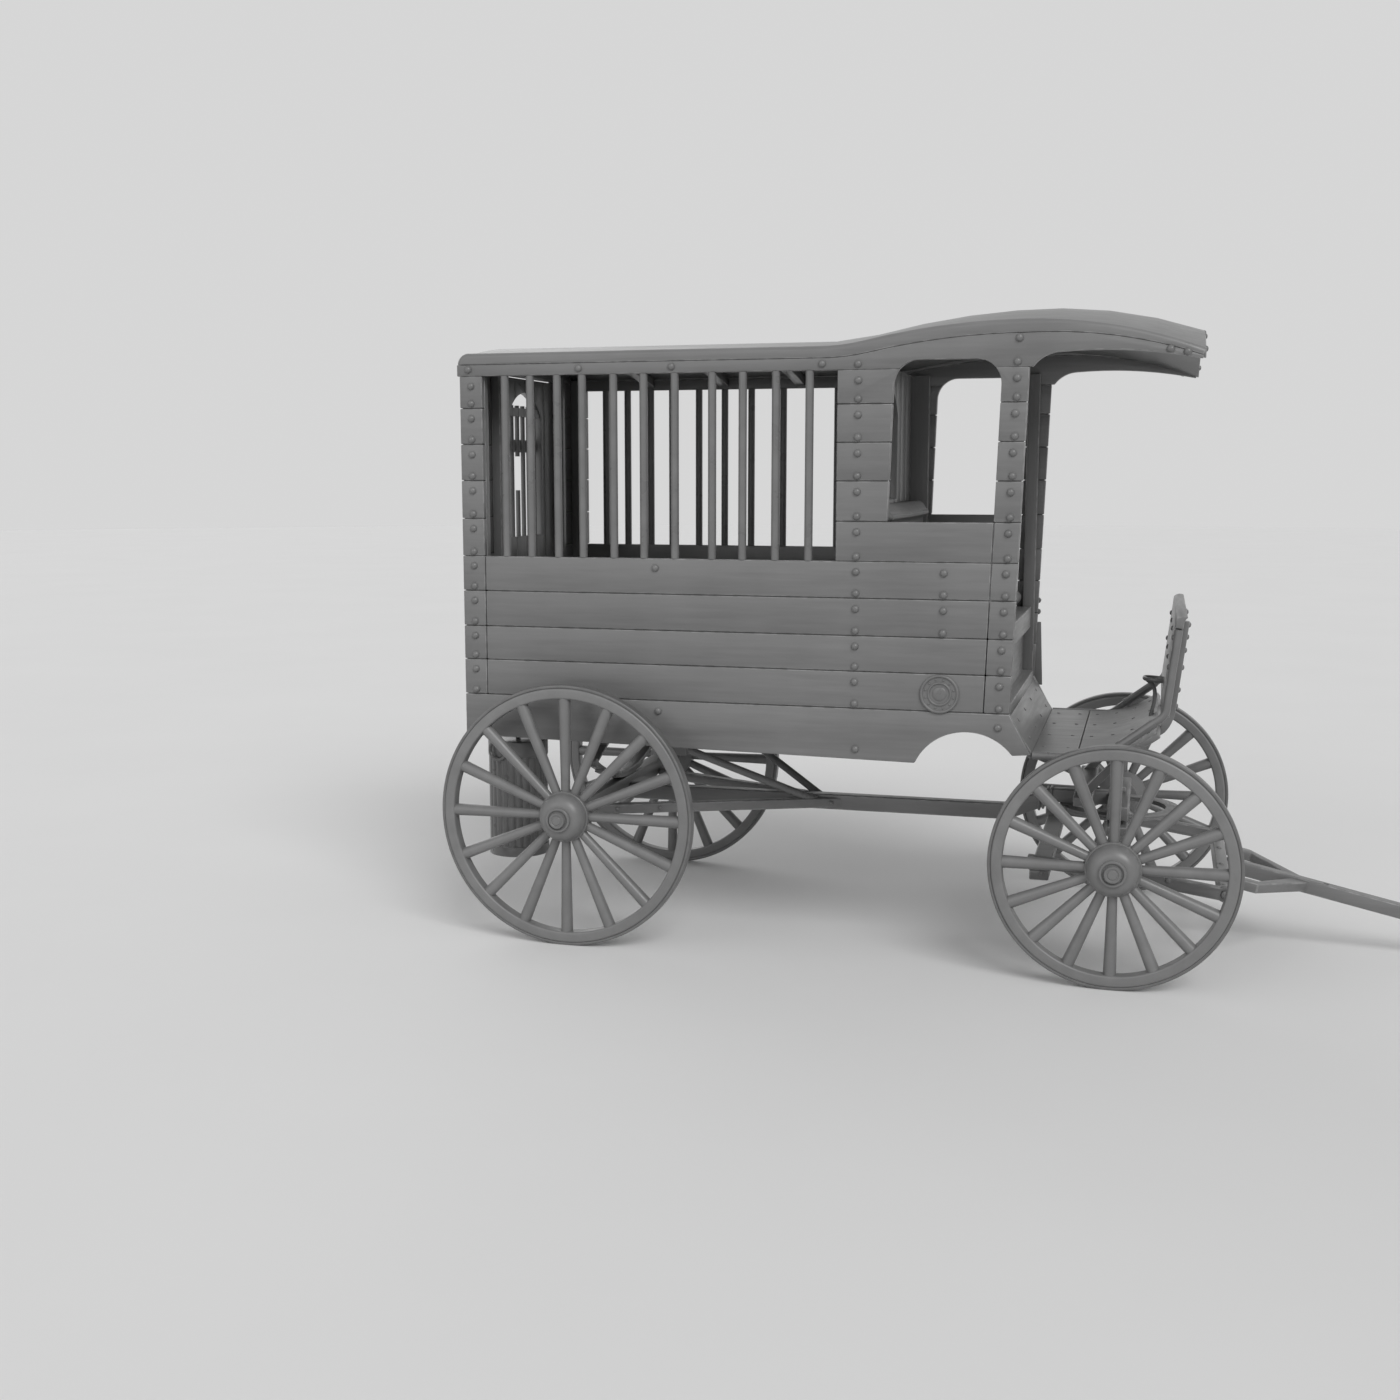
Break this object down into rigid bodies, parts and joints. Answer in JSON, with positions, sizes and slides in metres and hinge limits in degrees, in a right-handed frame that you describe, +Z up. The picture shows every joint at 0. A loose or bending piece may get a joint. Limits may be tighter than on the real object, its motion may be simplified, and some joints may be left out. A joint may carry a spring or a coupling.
{
  "type": "horse-drawn jail wagon",
  "caption": "Closed wooden jail wagon with barred cell windows, covered driver's seat, curved visor roof, spoked wheels, steered front carriage, hinged pole and rear door.",
  "frame": {"origin": "middle of the overall length and width, on the ground", "axes": "+X forward to the pole, +Y to the wagon's left, +Z up"},
  "size_m": [4.8462, 1.87, 2.7699],
  "materials": {
    "body_wood": "grey painted, satin",
    "gear_wood": "grey painted, satin",
    "wheel_wood": "grey painted, satin",
    "tyre_iron": "worn satin",
    "painted_iron": "satin",
    "leather": "satin"
  },
  "bodies": {
    "wagon_body": {"rear_spring": "painted_iron", "stays": "painted_iron", "upper_turntable": "painted_iron", "king_pin": "painted_iron", "window_bars": "painted_iron", "hinge_leaves": "painted_iron", "footboard_rails": "painted_iron", "dash_irons": "painted_iron", "medallions": "painted_iron", "post_bracket": "painted_iron", "barrel": "painted_iron", "barrel_hanger": "painted_iron", "seat_cushion": "leather", "seat_back": "leather", "rear_axle": "gear_wood", "reach_pole": "gear_wood", "rear_hounds": "gear_wood", "rear_bearer": "gear_wood", "sills": "gear_wood", "front_bolster": "gear_wood", "transom": "gear_wood", "left_wall": "body_wood", "right_wall": "body_wood", "skirts": "body_wood", "posts": "body_wood", "floor_boards": "body_wood", "rear_wall": "body_wood", "rear_header": "body_wood", "partition": "body_wood", "fascias": "body_wood", "eaves_rolls": "body_wood", "roof_deck": "body_wood", "roof_bows": "body_wood", "seat_box": "body_wood", "toe_board": "body_wood", "footboard": "body_wood", "dash_boards": "body_wood"},
    "front_carriage": {"front_axle": "gear_wood", "lower_turntable": "painted_iron", "futchells": "gear_wood"},
    "pole": {"splinter_bar": "gear_wood", "pole": "gear_wood", "pole_arms": "gear_wood", "pole_tip": "painted_iron"},
    "rear_door": {"door_panel": "body_wood", "door_bars": "painted_iron", "door_irons": "painted_iron"},
    "rear_left_wheel_set": {"rear_left_wheel": "wheel_wood", "rear_left_tyre": "tyre_iron"},
    "rear_right_wheel_set": {"rear_right_wheel": "wheel_wood", "rear_right_tyre": "tyre_iron"},
    "front_left_wheel_set": {"front_left_wheel": "wheel_wood", "front_left_tyre": "tyre_iron"},
    "front_right_wheel_set": {"front_right_wheel": "wheel_wood", "front_right_tyre": "tyre_iron"}
  },
  "joints": [
    {"name": "rear_left_wheel_spin", "type": "hinge", "parent": "wagon_body", "child": "rear_left_wheel_set", "pos_m": [-1.84319, 0, 0.58], "axis": [0, 1, 0], "continuous": true},
    {"name": "rear_right_wheel_spin", "type": "hinge", "parent": "wagon_body", "child": "rear_right_wheel_set", "pos_m": [-1.84319, 0, 0.58], "axis": [0, 1, 0], "continuous": true},
    {"name": "front_left_wheel_spin", "type": "hinge", "parent": "front_carriage", "child": "front_left_wheel_set", "pos_m": [0.4918, 0, 0.5], "axis": [0, 1, 0], "continuous": true},
    {"name": "front_right_wheel_spin", "type": "hinge", "parent": "front_carriage", "child": "front_right_wheel_set", "pos_m": [0.4918, 0, 0.5], "axis": [0, 1, 0], "continuous": true},
    {"name": "steering", "type": "hinge", "parent": "wagon_body", "child": "front_carriage", "pos_m": [0.4918, 0, 0.59], "axis": [0, 0, 1], "range_deg": [-14, 14]},
    {"name": "pole_hinge", "type": "hinge", "parent": "front_carriage", "child": "pole", "pos_m": [0.9318, 0, 0.366], "axis": [0, -1, 0], "range_deg": [0, 30]},
    {"name": "rear_door_hinge", "type": "hinge", "parent": "wagon_body", "child": "rear_door", "pos_m": [-2.3832, 0.3785, 1.05], "axis": [0, 0, -1], "range_deg": [0, 110]}
  ]
}
